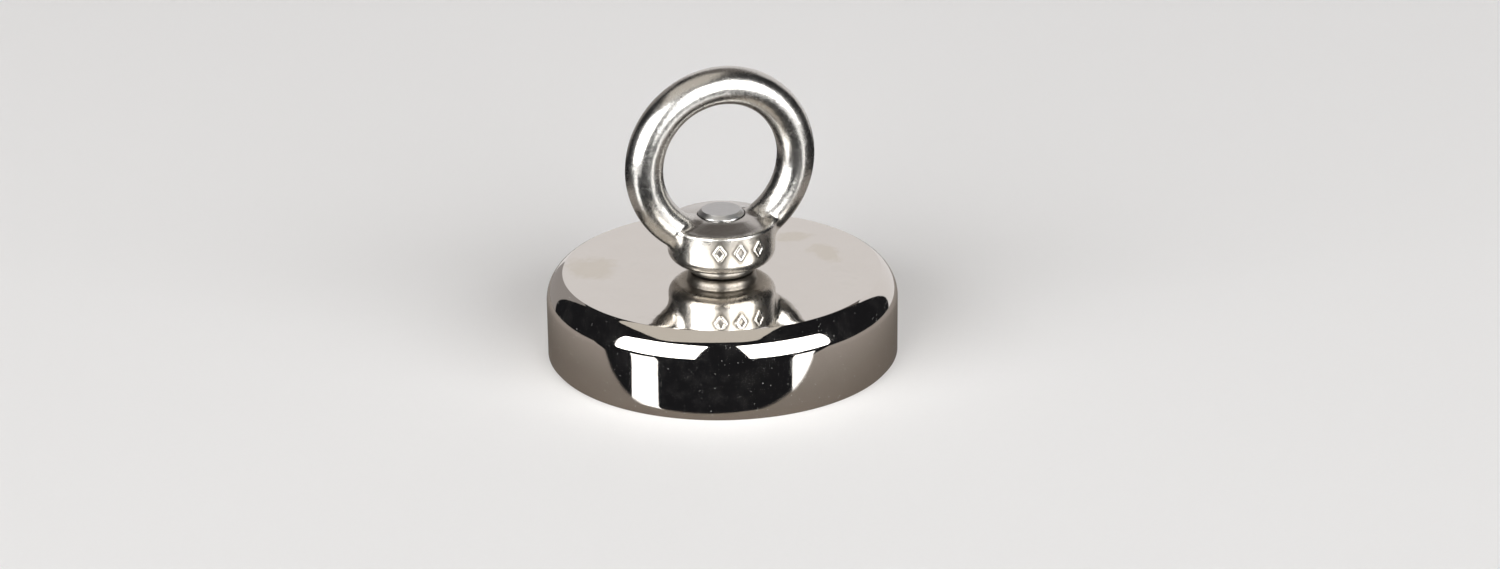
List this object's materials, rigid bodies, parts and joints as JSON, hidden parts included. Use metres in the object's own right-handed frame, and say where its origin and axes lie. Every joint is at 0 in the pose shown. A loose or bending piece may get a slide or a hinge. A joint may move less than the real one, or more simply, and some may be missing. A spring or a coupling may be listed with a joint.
{
  "type": "magnet fishing magnet",
  "caption": "Single-sided round pot magnet with a screwed-on lifting eye, thrown on a rope to pull iron out of water.",
  "frame": {"origin": "centre of the pulling face, in the plane of the pot's rim", "axes": "+Z along the pot's axis, up through the eye; the eye's hole runs along Y and the raised relief faces -Y"},
  "size_m": [0.06, 0.06, 0.0512],
  "materials": {
    "nickel_plate": "mirror nickel plating on turned steel",
    "magnet_plate": "satin nickel plating on sintered neodymium",
    "bond_film": "cured bond film",
    "black_epoxy": "cured black potting epoxy",
    "brass_bush": "turned",
    "screw_steel": "rolled and turned stainless steel",
    "cast_stainless": "cast stainless steel, tumbled and polished"
  },
  "bodies": {
    "pot_magnet": {"pot_shell": "nickel_plate", "ring_magnet": "magnet_plate", "magnet_adhesive": "bond_film", "outer_epoxy_ring": "black_epoxy", "inner_epoxy_ring": "black_epoxy", "centre_bush": "brass_bush"},
    "screw": {"countersunk_screw": "screw_steel"},
    "eye": {"eye_nut": "cast_stainless"}
  },
  "joints": [
    {"name": "eye_nut_lift", "type": "slide", "parent": "pot_magnet", "child": "eye", "axis": [0, 0, 1], "range_m": [0, 0.01094]},
    {"name": "screw_turn", "type": "hinge", "parent": "pot_magnet", "child": "screw", "pos_m": [0, 0, 0], "axis": [0, 0, -1], "range_deg": [0, 3150]}
  ],
  "couplings": [
    {"joint": "screw_turn", "follows": "eye_nut_lift", "rad_per_m": 5026.5}
  ]
}
